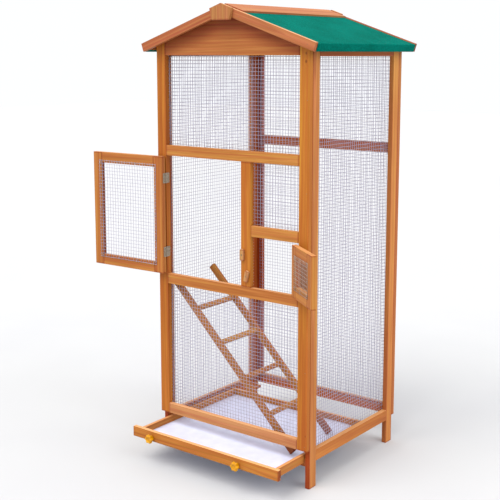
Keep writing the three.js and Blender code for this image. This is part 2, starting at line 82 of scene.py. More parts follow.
# Staples, screws and nails
STAPLE_CROWN = 10 * MM
STAPLE_WIDE = 1.3 * MM
STAPLE_THICK = 0.6 * MM
STAPLE_LEG = 1.6 * MM
STAPLE_STEP = 88 * MM
STAPLE_INSET = 5.5 * MM
STAPLE_STRAY = 3 * MM
STAPLE_TILT = 0.35
SCREW_SIDES = 20
SCREW_DOME = 0.35 * MM
CROSS_REACH_SHARE = 0.62
CROSS_HALF_SHARE = 0.15
CROSS_DEEP = 0.9 * MM
CROSS_DEEP_SHARE = 1.6
SCREW_TURN = 1.5
CROWN_SHARE = 0.86
PIT_SHARE = 0.6
PIVOT_SCREW = 3.4 * MM
PIVOT_SCREW_DOME = 0.5 * MM
KNOB_SCREW = 4 * MM
NAIL_PROFILE = ((1.3 * MM, -0.4 * MM), (1.3 * MM, 0.02 * MM), (1.04 * MM, 0.12 * MM), (0.39 * MM, 0.09 * MM))
NAIL_SIDES = 16

# Nails on a board: each is a share of its length and a share of its width
STILE_NAILS = (0.012, 0.2, 0.42, 0.64, 0.86)
STILE_NAIL_LINES = {"left": 0.22, "right": 0.78}
BARGE_NAILS = ((0.2, 0.42), (0.52, 0.58), (0.93, 0.45))
CAP_NAILS = ((0.04, 0.5), (0.5, 0.4), (0.96, 0.5))
TRAY_NAILS = ((0.014, 0.3), (0.014, 0.7), (0.986, 0.3), (0.986, 0.7))

# Timber pieces that this script makes itself
DOOR_MEMBER = 40 * MM
DOOR_EASE = 1.4 * MM
BOARD_SEAM = 0.25 * MM
LADDER_RAIL_WIDE = 25 * MM
LADDER_RAIL_THICK = 15 * MM
LADDER_LEAN = math.radians(45)
RUNG_COUNT = 4
RUNG_WIDE = 18 * MM
RUNG_THICK = 13 * MM
RUNG_MORTISE = 7.5 * MM
LADDER_EASE = 2 * MM
# Painted shade at the ladder's foot: how far up it reaches and how dark
LADDER_FOOT_SHADE_REACH = 110 * MM
LADDER_FOOT_PAINTED_SHADE = 0.66
EASE_STEPS = 3
BOARD_EASE = 1.2 * MM
SHEET_EASE = 0.4 * MM
WELD_REACH = 0.01 * MM
ROOF_PITCH = math.radians(18.75)

# Butt hinges
LEAF_THICK = 1.1 * MM
LEAF_CORNER = 3 * MM
LEAF_CORNER_STEPS = 5
BARREL_RADIUS = 2.6 * MM
KNUCKLE_CHAMFER = 0.35 * MM
KNUCKLE_GAP = 0.3 * MM
BARREL_SIDES = 24
PIN_HEAD = ((1.9 * MM, -0.7 * MM), (2.2 * MM, -0.4 * MM), (2.2 * MM, 0))
HINGE_SCREW = 2.3 * MM
HINGE_SCREW_DOME = 0.05 * MM
HINGE_SCREW_PROUD = 0.04 * MM
HINGE_SCREW_SHIFT = 1.2 * MM
HINGE_SCREW_STAGGER = 1.5 * MM
HINGE_SCREW_SHARES = (0.2, 0.5, 0.8)

# Tray knobs
KNOB_SIDES = 96
FLUTES = 6
FLUTE_DEEP = 4.2 * MM
KNOB_ROUND = 4 * MM
KNOB_ROUND_STEPS = 6
NECK_RADIUS = 8 * MM
NECK_LONG = 9 * MM
NECK_BLEND = 1 * MM
DIMPLE_RADIUS = 7 * MM
DIMPLE_DEEP = 2.6 * MM

# Roof felt
FELT_THICK = 2 * MM
FELT_TUCK = 16 * MM
FELT_BEND = 1.8 * MM
FELT_STEP = 12 * MM
FELT_WAVE = 0.9 * MM
FELT_WAVE_REACH = 60 * MM
# Each wave: its rate along the roof in radians a metre, and its size
FELT_WAVES = ((61, 1), (37, 1), (103, 0.5))
FELT_GRIT = 2.2 * MM
FELT_PIMPLE = 1.6 * MM
FELT_DEEP = 0.5 * MM
FELT_RUB = 3 * MM
FELT_SLOPE_STEPS = 14
FELT_BEND_STEPS = 5
FELT_EDGE_STEPS = 3

# Studio
FLOOR_HALF = 20
FLOOR_TONES = ((0.555, 0.555, 0.56, 1), (0.57, 0.57, 0.57, 1))
WORLD_COLOUR = (0.955, 0.97, 1, 1)
WORLD_STRENGTH = 1.04
LAMP_DISTANCE = 4
# Each lamp: azimuth, height and softness in degrees, strength, colour
LAMPS = {
    "key": (-10, 56, 44, 2.3, (1, 0.985, 0.96)),
    "fill": (98, 32, 50, 1.25, (0.97, 0.985, 1)),
}

scene = bpy.context.scene
nodes = frame["nodes"]
joints = {joint["name"]: joint for joint in frame["joints"]}


def linear(red, green, blue):
    """A colour given as sRGB bytes, in linear light."""
    shares = [value / 255 for value in (red, green, blue)]
    return (*(s / 12.92 if s <= 0.04045 else ((s + 0.055) / 1.055) ** 2.4 for s in shares), 1)


class Recipe:
    """One material's node tree, with a short call for each kind of node used here."""

    def __init__(self, name):
        self.material = bpy.data.materials.new(name)
        self.material.use_nodes = True
        self.tree = self.material.node_tree
        self.tree.nodes.clear()

    def node(self, kind, sources, **settings):
        made = self.tree.nodes.new(kind)
        for key, value in settings.items():
            setattr(made, key, value)
        for socket, source in sources.items():
            if isinstance(source, bpy.types.NodeSocket):
                self.tree.links.new(source, made.inputs[socket])
            else:
                made.inputs[socket].default_value = source
        return made

    def place(self):
        return self.node("ShaderNodeTexCoord", {}).outputs["Object"]

    def math(self, operation, a, b=0.0):
        return self.node("ShaderNodeMath", {0: a, 1: b}, operation=operation).outputs[0]

    def vector(self, operation, a, b=(0, 0, 0)):
        made = self.node("ShaderNodeVectorMath", {0: a, 1: b}, operation=operation)
        return made.outputs["Value" if operation in ("DOT_PRODUCT", "LENGTH") else "Vector"]

    def times(self, first, *rest):
        for factor in rest:
            first = self.math("MULTIPLY", first, factor)
        return first

    def dot(self, a, b):
        return self.vector("DOT_PRODUCT", a, b)

    def noise(self, place, stretch, offset=0.0, detail=2.0, output="Fac"):
        scaled = self.vector("MULTIPLY", place, stretch)
        moved = self.vector("ADD", scaled, (offset, offset / 3, -offset / 2))
        sources = {"Vector": moved, "Scale": 1.0, "Detail": detail}
        return self.node("ShaderNodeTexNoise", sources).outputs[output]

    def cells(self, place, size, output="Distance"):
        return self.node("ShaderNodeTexVoronoi", {"Vector": place, "Scale": 1 / size}).outputs[output]

    def spread(self, value, low, high, to_low=0.0, to_high=1.0):
        sources = {"Value": value, "From Min": low, "From Max": high, "To Min": to_low, "To Max": to_high}
        return self.node("ShaderNodeMapRange", sources, interpolation_type="SMOOTHSTEP").outputs["Result"]

    def ramp(self, value, stops):
        made = self.node("ShaderNodeValToRGB", {"Fac": value})
        elements = made.color_ramp.elements
        while len(elements) < len(stops):
            elements.new(1)
        for element, (position, shade) in zip(elements, stops):
            element.position = position
            element.color = (shade, shade, shade, 1)
        return made.outputs["Color"]

    def mix(self, share, a, b, blend="MIX"):
        sources = {0: share, 6: a, 7: b}
        return self.node("ShaderNodeMix", sources, data_type="RGBA", blend_type=blend).outputs[2]

    def bump(self, height, distance, strength=1.0):
        sources = {"Height": height, "Distance": distance, "Strength": strength}
        return self.node("ShaderNodeBump", sources).outputs["Normal"]

    def edges(self, radius):
        """1 along the solid's outer edges and 0 on its faces."""
        rounded = self.node("ShaderNodeBevel", {"Radius": radius}, samples=4).outputs["Normal"]
        flat = self.node("ShaderNodeNewGeometry", {}).outputs["Normal"]
        return self.spread(self.dot(rounded, flat), 0.99, 0.8)

    def surface(self, **sockets):
        named = {name.replace("_", " "): value for name, value in sockets.items()}
        shader = self.node("ShaderNodeBsdfPrincipled", named)
        self.node("ShaderNodeOutputMaterial", {"Surface": shader.outputs["BSDF"]})
        return self.material


# Stain tones: early wood, late wood, and thinly stained wood where an edge is rubbed, also laid on upward
# faces as painted light
TONES = {
    "front": (linear(176, 105, 36), linear(156, 86, 24), linear(216, 150, 84)),
    "rail": (linear(176, 110, 52), linear(152, 88, 36), linear(220, 158, 100)),
    "sill": (linear(180, 116, 74), linear(156, 94, 56), linear(224, 166, 116)),
    "side": (linear(188, 121, 62), linear(162, 98, 44), linear(222, 162, 108)),
    "trim": (linear(176, 108, 66), linear(152, 88, 50), linear(226, 172, 124)),
    "keystone": (linear(166, 106, 62), linear(146, 88, 48), linear(216, 164, 112)),
    "gable": (linear(172, 104, 54), linear(146, 82, 40), linear(216, 152, 98)),
    "tray": (linear(180, 112, 46), linear(152, 88, 32), linear(230, 172, 116)),
    "ladder": (linear(170, 110, 52), linear(144, 88, 38), linear(196, 142, 92)),
    "pale": (linear(184, 130, 84), linear(160, 106, 62), linear(222, 176, 126)),
}

FELT_TONES = (linear(0, 98, 84), linear(1, 108, 94))
WORN_FELT_TONE = linear(6, 120, 104)

RING_GAP = 5.2 * MM
RING_WANDER = 15 * MM
PITH_ASIDE = 14 * MM
PITH_BEHIND = (24 * MM, 60 * MM)
GRAIN_DEEP = 0.16 * MM
EDGE_RUB = 2.2 * MM
RING_STOPS = ((0.0, 0.0), (0.45, 0.12), (0.84, 1.0), (0.95, 0.55), (1.0, 0.0))
KNOT_TONE = linear(96, 42, 18)
END_SOAK = 4 * MM
END_SHADE = 0.74
# How far a top is made paler: painted light from above and sheen, partly thinner stain
TOP_PAINTED_LIGHT_AND_BARE = 0.75
# Painted shade on the gable under the eaves: how far down it reaches and how dark
EAVE_REACH = 80 * MM
EAVE_PAINTED_SHADE = 0.72
STILE_KNOTS = (
    ((624 * MM, 5 * MM, 0), 4.5 * MM),
    ((650 * MM, 5 * MM, 0), 3.5 * MM),
    ((-638 * MM, 14 * MM, 0), 2.4 * MM),
)
# Darkening along joints: stain gathered there, and painted shade in the joint
SEAM_REACH = 4.2 * MM
SEAM_STAIN_AND_SHADE = 0.52
WOOD_GLOSS = 0.16
TARNISH = 0.5
SCRATCH_DEEP = 0.05 * MM
GABLE_RINGS = 7 * MM
WIDE_RINGS = 9 * MM
CALM_FIGURE = 0.6

# How light a board is, and how far its top is made paler, where they aren't 1 and TOP_PAINTED_LIGHT_AND_BARE
SHADES = {
    # The top rails' 0.77 is painted shade under the eaves
    "left_top_rail": 0.77, "right_top_rail": 0.77,
    "front_mid_rail": 1.035, "front_lower_rail": 1.03, "front_small_rail": 1.1, "front_bottom_rail": 1.05,
    "front_gable": 1.045, "front_left_barge": 0.87, "front_right_barge": 0.99,
    "large_door_left_stile": 0.94, "large_door_lower_rail": 1.05, "large_door_upper_rail": 1.05,
    "small_door_lower_rail": 1.05, "small_door_upper_rail": 1.05,
}
# Paler tops are painted light from above and sheen, partly thinner stain
PAINTED_LIGHT_AND_BARE_TOPS = {
    "front_mid_rail": 0.3, "front_small_rail": 0.4, "left_ridge_cap": 0, "right_ridge_cap": 0,
    "rear_left_barge": 0, "rear_right_barge": 0, "tray_front": 1,
}

# Painted light and shade: what the colour of a face that looks in one direction is multiplied by, lighter or
# darker as light would fall on it
INNER_PAINTED_SHADE = (0.8, 0.64, 0.64, 1)
OUTER_PAINTED_LIGHT = (1.07, 1.0, 0.88, 1)
DOOR_INNER_PAINTED_SHADE = (0.72, 0.52, 0.5, 1)
FRONT_LEG_FRONT_PAINTED_LIGHT = (1.3, 1.1, 0.75, 1)
REAR_LEG_INNER_PAINTED_SHADE = (0.95, 0.62, 0.38, 1)
REAR_LEG_OUTER_PAINTED_LIGHT = (1.05, 1.0, 0.88, 1)
REAR_LEG_BACK_PAINTED_LIGHT = (1.5, 1.9, 1.9, 1)
REAR_LEG_FRONT_PAINTED_SHADE = 0.9
BOTTOM_RAIL_INNER_PAINTED_LIGHT = (1.12, 0.9, 0.7, 1)
REAR_STILE_FRONT_PAINTED_SHADE = (0.66, 0.24, 0.12, 1)
REAR_STILE_INNER_PAINTED_SHADE = (0.68, 0.3, 0.2, 1)
REAR_STILE_OUTER_PAINTED_SHADE = 0.85
REAR_MID_RAIL_PAINTED_SHADE = (1.12, 0.74, 0.36, 1)
REAR_BOTTOM_RAIL_PAINTED_SHADE = (1.12, 0.78, 0.56, 1)
CAP_TOP_PAINTED_LIGHT = (1.06, 1.1, 0.92, 1)
FRONT_BARGE_TOP_PAINTED_LIGHT = (1.15, 1.32, 1.32, 1)
REAR_BARGE_TOP_PAINTED_SHADE = (0.68, 0.52, 0.44, 1)
REAR_BARGE_SIDE_PAINTED_SHADE = (0.5, 0.46, 0.42, 1)
TRAY_END_PAINTED_SHADE = (0.7, 0.55, 0.48, 1)


def painted_shade_tint(shade):
    """What painted shade multiplies a colour by: more of green and blue than of red, so that darker is
    redder.
    """
    return shade, shade ** 2, shade ** 2, 1


def timber(board, grain, face, centre, tone, long, ring_gap=RING_GAP, knots=(), seams=(), facing=(),
           figure=1.0):
    """Flat-sawn softwood under a thinly laid stain. Its rings are those of a log whose pith lies behind the
    board.

    Seams are planes along which the board is darker: direction, point, reach and shade; at joints that is
    gathered stain and painted shade, elsewhere painted shade.
    Facing gives directions in which the board's faces look, each with its own tint of painted light and
    shade.
    Figure is how strongly the rings show.
    """
    name = board + "_timber"
    chance = random.Random(name)
    grain, face = Vector(grain).normalized(), Vector(face).normalized()
    side = face.cross(grain)
    early, late, rubbed_and_lit = TONES[tone]
    r = Recipe(name)
    local = r.vector("SUBTRACT", r.place(), centre)
    along = r.dot(local, grain)
    across = r.dot(local, side)
    deep = r.dot(local, face)
    turned = r.node("ShaderNodeCombineXYZ", {0: along, 1: across, 2: deep}).outputs[0]
    offset = chance.uniform(-40, 40)

    # Growth rings, which wander along the board
    wander = r.noise(turned, (1.1, 4, 4), offset, output="Color")
    wander = r.vector("SUBTRACT", wander, (0.5, 0.5, 0.5))
    wander = r.vector("MULTIPLY", wander, (0, 2 * RING_WANDER, 2 * RING_WANDER))
    pith = (0, chance.uniform(-PITH_ASIDE, PITH_ASIDE), chance.choice((-1, 1)) * chance.uniform(*PITH_BEHIND))
    flat = r.vector("MULTIPLY", turned, (0, 1, 1))
    radius = r.vector("LENGTH", r.vector("ADD", r.vector("ADD", flat, pith), wander))
    fibre = r.noise(turned, (9, 620, 620), offset, 3)
    for place, size in knots:
        away = r.vector("SUBTRACT", turned, place)
        reach = r.vector("LENGTH", r.vector("MULTIPLY", away, (0.55 / size, 1 / size, 0)))
        pull = r.spread(reach, 2.6, 0.4, 0, 1.6 * size)
        radius = r.math("ADD", radius, pull)
    ring = r.math("ADD", r.math("DIVIDE", radius, ring_gap), r.times(fibre, 0.16))
    late_share = r.ramp(r.math("FRACT", ring), RING_STOPS)
    strength = r.spread(r.noise(turned, (1.6, 9, 9), offset + 7), 0.3, 0.7, 0.2 * figure, 0.75 * figure)
    colour = r.mix(r.times(late_share, strength), early, late)

    # Streaks and blotches of stain, fibres, short dark pores; a darker stain is redder
    streak = r.spread(r.noise(turned, (1.2, 75, 75), offset + 3, 3), 0.28, 0.72, 0.86, 1.1)
    blotch = r.spread(r.noise(turned, (2.4, 8, 8), offset + 5), 0.3, 0.7, 0.92, 1.06)
    fine = r.spread(fibre, 0.25, 0.75, 0.90, 1.08)
    # SHADES holds how light each board is; for the top rails that is painted shade under the eaves
    light = r.times(streak, blotch, fine, SHADES.get(board, 1.0) * chance.uniform(0.97, 1.03))
    soak = r.noise(turned, (60, 160, 160), offset + 9)
    ends = r.math("ADD", r.math("ABSOLUTE", along), r.times(soak, END_SOAK))
    light = r.times(light, r.spread(ends, long / 2 - END_SOAK, long / 2, 1.0, END_SHADE))
    # Seams: along joints stain gathered there and painted shade, along the eaves and at the ladder's foot
    # painted shade alone
    for direction, point, reach, thick in seams:
        level = (Vector(point) - centre).dot(direction)
        away = r.math("ABSOLUTE", r.math("SUBTRACT", r.dot(local, direction), level))
        light = r.times(light, r.spread(away, reach / 4, reach, thick, 1.0))
    yellow = r.spread(r.noise(turned, (1.5, 120, 120), offset + 17, 2), 0.3, 0.7, 0.90, 1.12)
    deeper = r.times(light, light)
    tint = {0: light, 1: r.times(deeper, yellow), 2: deeper}
    colour = r.mix(1.0, colour, r.node("ShaderNodeCombineColor", tint).outputs[0], "MULTIPLY")
    looks = r.node("ShaderNodeTexCoord", {}).outputs["Normal"]
    # Painted light and shade: each face is tinted by the direction it looks in
    for direction, painted_light_and_shade in facing:
        turned_to = r.spread(r.dot(looks, direction), 0.5, 0.9)
        colour = r.mix(turned_to, colour, painted_light_and_shade, "MULTIPLY")
    pores = r.spread(r.noise(turned, (34, 900, 900), offset + 11, 1), 0.66, 0.74, 0, 0.35)
    colour = r.mix(pores, colour, late)
    for place, size in knots:
        away = r.vector("SUBTRACT", turned, place)
        reach = r.vector("LENGTH", r.vector("MULTIPLY", away, (0.7 / size, 1 / size, 0)))
        colour = r.mix(r.spread(reach, 1.15, 0.55, 0, 0.65), colour, KNOT_TONE)

    # Rubbed edges, where the stain is thinner, and faces that look up made paler: painted light from above
    # and sheen, partly thinner stain
    patch = r.spread(r.noise(turned, (14, 90, 90), offset + 13), 0.35, 0.65, 0.05, 0.45)
    top_light_and_thin_stain = r.spread(r.dot(looks, Z), 0.8, 0.97, 0, PAINTED_LIGHT_AND_BARE_TOPS.get(board, TOP_PAINTED_LIGHT_AND_BARE))
    top_patchiness = r.spread(r.noise(turned, (5, 60, 60), offset + 15), 0.3, 0.7, 0.75, 1.0)
    top_light_and_thin_stain = r.times(top_light_and_thin_stain, top_patchiness)
    thin_stain_and_top_light = r.math("MAXIMUM", r.times(r.edges(EDGE_RUB), patch), top_light_and_thin_stain)
    colour = r.mix(thin_stain_and_top_light, colour, rubbed_and_lit)
    rough = r.spread(fibre, 0.2, 0.8, 0.44, 0.62)
    height = r.math("ADD", r.times(late_share, 0.5), fibre)
    return r.surface(Base_Color=colour, Roughness=rough, Specular_IOR_Level=WOOD_GLOSS,
                     Normal=r.bump(height, GRAIN_DEEP, 0.8))


def felt_material():
    """Green mineral felt: crushed slate in bitumen."""
    r = Recipe("roof_felt")
    place = r.place()
    mottle = r.spread(r.noise(place, (9, 9, 9), 2, 3), 0.3, 0.7)
    colour = r.mix(mottle, *FELT_TONES)
    grit = r.cells(place, FELT_GRIT, "Color")
    shade = r.spread(r.dot(grit, (0.33, 0.33, 0.33)), 0.2, 0.8, 0.72, 1.25)
    grey = r.node("ShaderNodeCombineColor", {0: shade, 1: shade, 2: shade}).outputs[0]
    colour = r.mix(1.0, colour, grey, "MULTIPLY")
    wear = r.times(r.edges(FELT_RUB), r.noise(place, (60, 60, 60), 5))
    colour = r.mix(r.times(wear, 0.5), colour, WORN_FELT_TONE)
    dust = r.times(r.noise(place, (300, 300, 300), 1), 0.8)
    height = r.math("ADD", r.cells(place, FELT_PIMPLE), dust)
    return r.surface(Base_Color=colour, Roughness=0.95, Specular_IOR_Level=0.02,
                     Normal=r.bump(height, FELT_DEEP, 0.7))


def metal(name, light, dark, rough, grain=(260, 260, 260)):
    """Plated or galvanised steel: a mottled finish with fine scratches and some tarnish."""
    r = Recipe(name)
    place = r.place()
    spangle = r.spread(r.noise(place, (150, 150, 150), 4, 3), 0.3, 0.7)
    colour = r.mix(r.times(spangle, TARNISH), light, dark)
    scratch = r.noise(place, grain, 9, 3)
    return r.surface(
        Base_Color=colour, Metallic=0.85,
        Roughness=r.spread(scratch, 0.25, 0.75, rough - 0.08, rough + 0.12),
        Normal=r.bump(scratch, SCRATCH_DEEP, 0.6))


def plastic(name, light, dark, rough, grain_size, depth):
    """Moulded plastic: fine spark-eroded texture and slight flow marks."""
    r = Recipe(name)
    place = r.place()
    flow = r.spread(r.noise(place, (22, 22, 22), 6, 3), 0.3, 0.7)
    colour = r.mix(flow, light, dark)
    texture = r.noise(place, (1 / grain_size,) * 3, 1, 2)
    return r.surface(
        Base_Color=colour, Specular_IOR_Level=0.3,
        Roughness=r.spread(r.noise(place, (45, 45, 45), 3), 0.3, 0.7, rough - 0.06, rough + 0.1),
        Normal=r.bump(texture, depth, 0.6))


def shut_matrix(joint_name, shut_angle):
    """Takes a point from where it is with the door shut to where it is at rest."""
    axis = Vector(joints[joint_name]["pos_m"])
    turn = Matrix.Rotation(math.radians(-shut_angle), 4, "Z")
    return Matrix.Translation(axis) @ turn @ Matrix.Translation(-axis)


def box_of(node, place):
    """Lowest and highest corner of a CAD node, turned back by a matrix unless that is None."""
    if place is None:
        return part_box(node)
    back = place.inverted()
    corners = np.array([back @ vertex.co for vertex in nodes[node].data.vertices])
    return Vector(corners.min(0)), Vector(corners.max(0))


def piece(name, body, verts, faces, material, place=None, smooth=False, replaces=()):
    """A new piece from corners and faces, which rides on a body."""
    mesh = bpy.data.meshes.new(name)
    mesh.from_pydata([tuple(v) for v in verts], [], faces)
    if place is not None:
        mesh.transform(place)
    mesh.materials.append(material)
    if smooth:
        mesh.shade_smooth()
    mesh.validate()
    made = bpy.data.objects.new(name, mesh)
    scene.collection.objects.link(made)
    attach(made, body)
    if replaces:
        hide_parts(*replaces)
    return made


class Solid:
    """Corners and faces that several closed shapes are gathered in."""

    def __init__(self):
        self.verts, self.faces = [], []

    def take(self, verts, faces):
        start = len(self.verts)
        self.verts.extend(verts)
        self.faces.extend([tuple(start + i for i in face) for face in faces])

    def tube(self, centres, across, up, radius, sides):
        """A closed wire whose rings lie in the plane of across and up."""
        turn = [2 * math.pi * i / sides for i in range(sides)]
        ring = [across * (radius * math.cos(a)) + up * (radius * math.sin(a)) for a in turn]
        verts = [centre + spoke for centre in centres for spoke in ring]
        self.take(verts, tube_faces(len(centres), sides))

    def sweep(self, across, path, wide):
        """A strip along a bent path, which has the strip's inner and outer point at each bend."""
        edge = across * wide / 2
        verts = []
        for inner, outer in path:
            verts += [inner - edge, outer - edge, outer + edge, inner + edge]
        self.take(verts, tube_faces(len(path), 4))


def tube_faces(rings, sides):
    """Faces of a closed run of rings with capped ends."""
    faces = [tuple(reversed(range(sides)))]
    for i in range(rings - 1):
        for j in range(sides):
            k = (j + 1) % sides
            faces.append((i * sides + j, i * sides + k, (i + 1) * sides + k, (i + 1) * sides + j))
    faces.append(tuple((rings - 1) * sides + j for j in range(sides)))
    return faces


def ripple(waves, phase, *place):
    """Some sine waves added up, and scaled to lie between -1 and 1."""
    total = 0
    for (*rates, size), start in zip(waves, phase):
        total += size * math.sin(sum(rate * run for rate, run in zip(rates, place)) + start)
    return total / sum(wave[-1] for wave in waves)


def add_staple(solid, centre, along, normal):
    """A staple whose crown lies along a direction, with its legs turned into the wood."""
    across = normal.cross(along)
    half, thick, leg = STAPLE_CROWN / 2, STAPLE_THICK, STAPLE_LEG
    limb = [((half - thick, -leg), (half, -leg)), ((half - thick, -thick / 4), (half, thick / 3)),
            ((half - 2 * thick, 0), (half - thick, thick))]
    path = []
    for way, rings in ((-1, limb), (1, limb[::-1])):
        path += [[centre + along * (way * x) + normal * z for x, z in ring] for ring in rings]
    solid.sweep(across, path, STAPLE_WIDE)


def add_net(name, node, body, inward, place=None, trim=NET_TRIM):
    """Welded netting in a CAD net's place, with the staples that hold its edges."""
    # The small door's netting has a warmer, darker copy of the wire colour: painted reflection of the wood
    # round it
    steel = WARM_NET_STEEL if body == "small_door" else NET_STEEL
    chance = random.Random(name)
    low, high = box_of(node, place)
    level = Z.cross(inward)
    span_u = abs((high - low).dot(level)) - 2 * trim
    span_v = high.z - low.z - 2 * trim
    middle = (low + high) / 2
    depth = abs((high - low).dot(inward))
    corner = middle - inward * depth / 2 - level * span_u / 2 - Z * span_v / 2
    phase = [chance.uniform(0, math.tau) for _ in range(4)]

    def bulge(u, v):
        rim = min(u, span_u - u, v, span_v - v) - NET_FLAT_RIM
        free = min(max(rim / NET_RISE_OVER, 0), 1)
        free *= free * (3 - 2 * free)
        return -free * (NET_SAG + NET_RIPPLE * ripple(NET_WAVES, phase, u, v))

    def at(u, v, off):
        return corner + level * u + Z * v + inward * (off + bulge(u, v))

    wires = Solid()
    for long, wide, off, upright in ((span_v, span_u, WIRE_RADIUS, True),
                                     (span_u, span_v, CROSS_WIRE_LIFT, False)):
        room = wide - 2 * WIRE_STUB
        count = round(room / NET_PITCH)
        steps = max(2, math.ceil(long / WIRE_STEP))
        for i in range(count + 1):
            base = WIRE_STUB + room * i / count
            centres = []
            for k in range(steps + 1):
                run = long * k / steps
                stray = base + chance.uniform(-WIRE_STRAY, WIRE_STRAY)
                u, v = (stray, run) if upright else (run, stray)
                centres.append(at(min(max(u, 0), span_u), min(max(v, 0), span_v), off))
            first, second = (level, inward) if upright else (inward, Z)
            wires.tube(centres, first, second, WIRE_RADIUS, WIRE_SIDES)
    piece(name, body, wires.verts, wires.faces, steel, place, True, (node,))

    staples = Solid()
    for long, wide, upright in ((span_v, span_u, True), (span_u, span_v, False)):
        count = max(2, round((long - 4 * STAPLE_INSET) / STAPLE_STEP))
        for i in range(count + 1):
            run = 2 * STAPLE_INSET + (long - 4 * STAPLE_INSET) * i / count
            run += chance.uniform(-STAPLE_STRAY, STAPLE_STRAY)
            for edge in (STAPLE_INSET, wide - STAPLE_INSET):
                u, v = (edge, run) if upright else (run, edge)
                tilt = chance.uniform(-STAPLE_TILT, STAPLE_TILT) + (0 if upright else math.pi / 2)
                along = level * math.cos(tilt) + Z * math.sin(tilt)
                add_staple(staples, at(u, v, STAPLE_LIFT), along, inward)
    piece(name + "_staples", body, staples.verts, staples.faces, STAPLE_STEEL, place)


def add_screw(solid, centre, normal, radius, turn, dome):
    """A countersunk screw head, slightly domed, with a cross recess."""
    first = normal.orthogonal().normalized()
    second = normal.cross(first)
    mesh = bmesh.new()

    def ring(points):
        verts = [mesh.verts.new(p) for p in points]
        return verts, [mesh.edges.new((a, b)) for a, b in zip(verts, verts[1:] + verts[:1])]

    angles = [math.tau * i / SCREW_SIDES for i in range(SCREW_SIDES)]
    rim_low, _ = ring([(radius * math.cos(a), radius * math.sin(a), -dome) for a in angles])
    rim_top, _ = ring([(radius * math.cos(a), radius * math.sin(a), 0) for a in angles])
    inner = CROWN_SHARE * radius
    crown, crown_edges = ring([(inner * math.cos(a), inner * math.sin(a), dome) for a in angles])
    reach, half = CROSS_REACH_SHARE * radius, CROSS_HALF_SHARE * radius
    quarter = [(reach, -half), (reach, half), (half, half)]
    cross = []
    for q in range(4):
        c, s = math.cos(q * math.pi / 2), math.sin(q * math.pi / 2)
        cross += [(c * x - s * y, s * x + c * y) for x, y in quarter]
    lip, lip_edges = ring([(x, y, dome) for x, y in cross])
    floor = dome - min(CROSS_DEEP, CROSS_DEEP_SHARE * dome)
    pit, _ = ring([(PIT_SHARE * x, PIT_SHARE * y, floor) for x, y in cross])
    for low, top in ((rim_low, rim_top), (rim_top, crown)):
        for i in range(SCREW_SIDES):
            k = (i + 1) % SCREW_SIDES
            mesh.faces.new((low[i], low[k], top[k], top[i]))
    for i in range(len(lip)):
        k = (i + 1) % len(lip)
        mesh.faces.new((pit[i], pit[k], lip[k], lip[i]))
    mesh.faces.new(pit)
    mesh.faces.new(rim_low)
    bmesh.ops.triangle_fill(mesh, edges=crown_edges + lip_edges, use_beauty=True)
    bmesh.ops.recalc_face_normals(mesh, faces=mesh.faces)
    mesh.verts.index_update()
    c, s = math.cos(turn), math.sin(turn)
    verts = []
    for x, y, z in (v.co for v in mesh.verts):
        verts.append(centre + first * (c * x - s * y) + second * (s * x + c * y) + normal * z)
    solid.take(verts, [tuple(v.index for v in face.verts) for face in mesh.faces])
    mesh.free()


def screws(name, body, heads, place=None, dome=SCREW_DOME):
    """Several screw heads as one piece: each is a place, a normal and a radius."""
    chance = random.Random(name)
    solid = Solid()
    for centre, normal, radius in heads:
        turn = chance.uniform(0, SCREW_TURN)
        add_screw(solid, Vector(centre), Vector(normal).normalized(), radius, turn, dome)
    piece(name, body, solid.verts, solid.faces, SCREW_STEEL, place)


def nails(name, body, heads):
    """Flush nail heads as one piece: each is a place and the direction it looks in."""
    solid = Solid()
    verts, faces = lathe(NAIL_PROFILE, NAIL_SIDES)
    for centre, normal in heads:
        turn = Vector(normal).to_track_quat("Z", "Y")
        solid.take([Vector(centre) + turn @ v for v in verts], faces)
    piece(name, body, solid.verts, solid.faces, SCREW_STEEL)


def on_face(node, grain, face, spots):
    """Nail places on one face of a board: each spot is a share of its length and of its width."""
    points = [vertex.co for vertex in nodes[node].data.vertices]
    across = face.cross(grain)

    def share_of(direction, share):
        runs = [point.dot(direction) for point in points]
        return direction * (min(runs) + (max(runs) - min(runs)) * share)

    return [(share_of(grain, along) + share_of(across, wide) + share_of(face, 1), face)
            for along, wide in spots]


def eased_board(name, body, low, high, ease, material, place, replaces=()):
    """A planed board given by two corners, with rounded edges."""
    mesh = bmesh.new()
    bmesh.ops.create_cube(mesh, size=1)
    size, middle = high - low, (low + high) / 2
    for vertex in mesh.verts:
        vertex.co = Vector(c * s for c, s in zip(vertex.co, size)) + middle
    bmesh.ops.bevel(mesh, geom=mesh.edges[:], offset=ease, segments=EASE_STEPS, profile=0.5, affect="EDGES")
    verts = [v.co.copy() for v in mesh.verts]
    faces = [tuple(v.index for v in face.verts) for face in mesh.faces]
    mesh.free()
    piece(name, body, verts, faces, material, place, False, replaces)


NET_STEEL = metal("net_wire", linear(190, 186, 204), linear(164, 160, 178), 0.5)
# A warmer, darker copy of the netting's wire colour: painted reflection of the wood round the small door
WARM_NET_STEEL = metal("warm_net_wire", linear(192, 174, 160), linear(164, 146, 134), 0.5)
STAPLE_STEEL = metal("staple_steel", linear(196, 196, 198), linear(120, 118, 116), 0.38)
HINGE_STEEL = metal("hinge_steel", linear(170, 156, 138), linear(116, 102, 86), 0.34, (30, 30, 700))
SCREW_STEEL = metal("screw_steel", linear(150, 128, 98), linear(86, 68, 46), 0.38)
FELT = felt_material()
FLOOR_SHEET = plastic("tray_floor", linear(217, 221, 243), linear(209, 213, 236), 0.42, 1.2 * MM, 0.06 * MM)
KNOB_PLASTIC = plastic("knob", linear(228, 172, 6), linear(198, 134, 2), 0.36, 0.8 * MM, 0.04 * MM)

